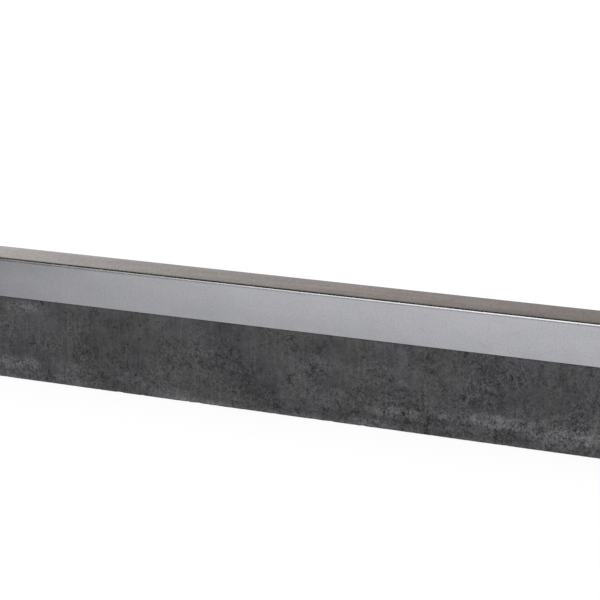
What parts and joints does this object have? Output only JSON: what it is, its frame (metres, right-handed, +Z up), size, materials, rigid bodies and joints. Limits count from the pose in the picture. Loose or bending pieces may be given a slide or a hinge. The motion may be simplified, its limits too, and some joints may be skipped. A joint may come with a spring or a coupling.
{
  "type": "steel edging profile on a concrete kerb",
  "caption": "Straight garden edging kerb of cast anthracite concrete, capped over its top edge by a folded U-shaped profile of satin sheet steel.",
  "frame": {"origin": "middle of the kerb's foot, on the ground", "axes": "+X along the unit, +Y across its thickness, +Z up, away from the foot"},
  "size_m": [1, 0.055, 0.152],
  "materials": {
    "concrete": "cast anthracite concrete, matt, mottled, with small air voids",
    "steel": "satin sheet steel with a fine grain along its length"
  },
  "bodies": {
    "root": {"concrete_kerb": "concrete", "steel_profile": "steel"}
  },
  "joints": []
}
